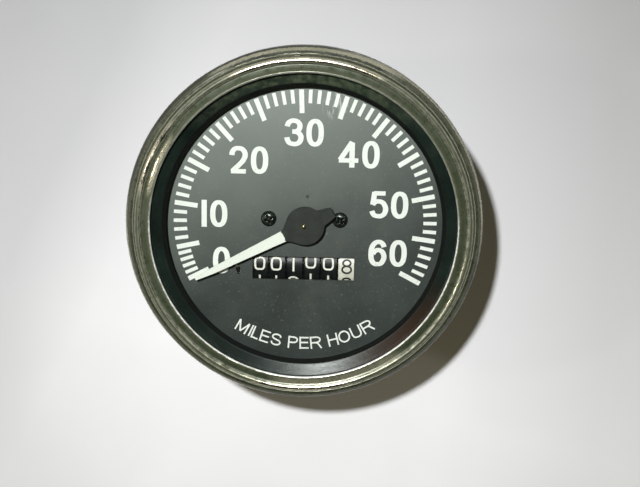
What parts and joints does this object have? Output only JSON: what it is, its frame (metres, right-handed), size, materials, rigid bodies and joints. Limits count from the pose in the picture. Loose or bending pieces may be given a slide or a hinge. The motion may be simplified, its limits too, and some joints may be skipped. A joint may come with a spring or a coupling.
{
  "type": "speedometer",
  "caption": "Round magnetic speedometer for a panel hole, with white-on-black miles per hour dial, plated bezel and drum odometer.",
  "frame": {"origin": "on the instrument's axis, in the plane of the bezel's rear face that seats on the panel", "axes": "+Z out of the dial towards the viewer, +Y to the dial's twelve o'clock, +X to its three o'clock"},
  "size_m": [0.092, 0.092, 0.073],
  "materials": {
    "case_paint": "satin black baked enamel",
    "plated_bezel": "dull plating, grainy and pitted",
    "glass": "clear flat glass",
    "gasket": "black rubber",
    "visor_paint": "glossy black-green enamel",
    "dial_paint": "matt grey-black dial lacquer with white print",
    "black_screw": "blackened steel",
    "pointer_paint": "white arm, matt black middle and tail",
    "brass": "turned brass",
    "spring_bronze": "phosphor bronze strip",
    "aluminium": "spun aluminium",
    "zinc_plate": "zinc-plated steel",
    "steel": "ground steel",
    "die_cast": "die-cast zinc, as cast",
    "magnet_alloy": "sintered magnet alloy",
    "jewel": "synthetic ruby",
    "gear_plastic": "natural acetal",
    "black_drum": "black plastic with white digits",
    "white_drum": "white plastic with black digits"
  },
  "bodies": {
    "housing_and_frame": {"case": "case_paint", "bezel": "plated_bezel", "glass": "glass", "glass_gasket": "gasket", "visor_ring": "visor_paint", "dial_plate": "dial_paint", "dial_screws": "black_screw", "stop_wire": "black_screw", "hairspring": "spring_bronze", "hairspring_anchor": "brass", "top_plate": "zinc_plate", "spindle_bush": "brass", "frame_pillars": "zinc_plate", "pillar_screws": "zinc_plate", "base_frame": "die_cast", "drive_nose": "zinc_plate", "drive_bush": "brass", "thrust_washer": "steel", "odometer_frame": "zinc_plate", "odometer_screws": "zinc_plate", "pinion_shaft": "steel", "mounting_studs": "zinc_plate", "movement_screws": "zinc_plate"},
    "drive_rotor": {"drive_shaft": "steel", "pivot_jewel": "jewel", "magnet": "magnet_alloy", "field_cup": "steel"},
    "pointer_and_cup": {"pointer": "pointer_paint", "pointer_boss": "brass", "spindle": "brass", "speed_cup": "aluminium", "hairspring_collet": "brass"},
    "cross_train": {"cross_shaft": "steel", "cross_gear": "gear_plastic"},
    "upright_train": {"upright_shaft": "steel", "upright_gear": "gear_plastic", "upright_worm": "gear_plastic"},
    "odometer_drive": {"odometer_shaft": "steel", "odometer_gear": "gear_plastic", "tenths_wheel": "white_drum"},
    "units_drum": {"units_wheel": "black_drum"},
    "tens_drum": {"tens_wheel": "black_drum"},
    "hundreds_drum": {"hundreds_wheel": "black_drum"},
    "thousands_drum": {"thousands_wheel": "black_drum"},
    "ten_thousands_drum": {"ten_thousands_wheel": "black_drum"},
    "pinion_1": {"transfer_pinion_1": "brass"},
    "pinion_2": {"transfer_pinion_2": "brass"},
    "pinion_3": {"transfer_pinion_3": "brass"},
    "pinion_4": {"transfer_pinion_4": "brass"},
    "pinion_5": {"transfer_pinion_5": "brass"}
  },
  "joints": [
    {"name": "drive_spin", "type": "hinge", "parent": "housing_and_frame", "child": "drive_rotor", "pos_m": [0, 0, -0.04], "axis": [0, 0, -1], "continuous": true},
    {"name": "pointer_swing", "type": "hinge", "parent": "housing_and_frame", "child": "pointer_and_cup", "pos_m": [0, 0, 0], "axis": [0, 0, -1], "range_deg": [0, 350], "stiffness_Nm_per_rad": 0.000012},
    {"name": "cross_shaft_spin", "type": "hinge", "parent": "housing_and_frame", "child": "cross_train", "pos_m": [0.009, 0, -0.033], "axis": [0, -1, 0], "continuous": true},
    {"name": "upright_shaft_spin", "type": "hinge", "parent": "housing_and_frame", "child": "upright_train", "pos_m": [0.018, -0.0195, -0.033], "axis": [0, 0, -1], "continuous": true},
    {"name": "odometer_spin", "type": "hinge", "parent": "housing_and_frame", "child": "odometer_drive", "pos_m": [0, -0.012, -0.0066], "axis": [-1, 0, 0], "continuous": true},
    {"name": "units_turn", "type": "hinge", "parent": "housing_and_frame", "child": "units_drum", "pos_m": [0, -0.012, -0.0066], "axis": [-1, 0, 0], "continuous": true},
    {"name": "tens_turn", "type": "hinge", "parent": "housing_and_frame", "child": "tens_drum", "pos_m": [0, -0.012, -0.0066], "axis": [-1, 0, 0], "continuous": true},
    {"name": "hundreds_turn", "type": "hinge", "parent": "housing_and_frame", "child": "hundreds_drum", "pos_m": [0, -0.012, -0.0066], "axis": [-1, 0, 0], "continuous": true},
    {"name": "thousands_turn", "type": "hinge", "parent": "housing_and_frame", "child": "thousands_drum", "pos_m": [0, -0.012, -0.0066], "axis": [-1, 0, 0], "continuous": true},
    {"name": "ten_thousands_turn", "type": "hinge", "parent": "housing_and_frame", "child": "ten_thousands_drum", "pos_m": [0, -0.012, -0.0066], "axis": [-1, 0, 0], "continuous": true},
    {"name": "pinion_1_turn", "type": "hinge", "parent": "housing_and_frame", "child": "pinion_1", "pos_m": [0, -0.0211, -0.0066], "axis": [1, 0, 0], "continuous": true},
    {"name": "pinion_2_turn", "type": "hinge", "parent": "housing_and_frame", "child": "pinion_2", "pos_m": [0, -0.0211, -0.0066], "axis": [1, 0, 0], "continuous": true},
    {"name": "pinion_3_turn", "type": "hinge", "parent": "housing_and_frame", "child": "pinion_3", "pos_m": [0, -0.0211, -0.0066], "axis": [1, 0, 0], "continuous": true},
    {"name": "pinion_4_turn", "type": "hinge", "parent": "housing_and_frame", "child": "pinion_4", "pos_m": [0, -0.0211, -0.0066], "axis": [1, 0, 0], "continuous": true},
    {"name": "pinion_5_turn", "type": "hinge", "parent": "housing_and_frame", "child": "pinion_5", "pos_m": [0, -0.0211, -0.0066], "axis": [1, 0, 0], "continuous": true}
  ],
  "couplings": [
    {"joint": "cross_shaft_spin", "follows": "drive_spin", "ratio": 0.1},
    {"joint": "upright_shaft_spin", "follows": "drive_spin", "ratio": 0.01},
    {"joint": "odometer_spin", "follows": "drive_spin", "ratio": 0.001},
    {"joint": "units_turn", "follows": "drive_spin", "ratio": 0.0001},
    {"joint": "tens_turn", "follows": "drive_spin", "ratio": 0.00001},
    {"joint": "hundreds_turn", "follows": "drive_spin", "ratio": 0.000001},
    {"joint": "thousands_turn", "follows": "drive_spin", "ratio": 0.0000001},
    {"joint": "ten_thousands_turn", "follows": "drive_spin", "ratio": 0.00000001},
    {"joint": "pinion_1_turn", "follows": "drive_spin", "ratio": 0.00025},
    {"joint": "pinion_2_turn", "follows": "drive_spin", "ratio": 0.000025},
    {"joint": "pinion_3_turn", "follows": "drive_spin", "ratio": 0.0000025},
    {"joint": "pinion_4_turn", "follows": "drive_spin", "ratio": 0.00000025},
    {"joint": "pinion_5_turn", "follows": "drive_spin", "ratio": 0.000000025}
  ]
}
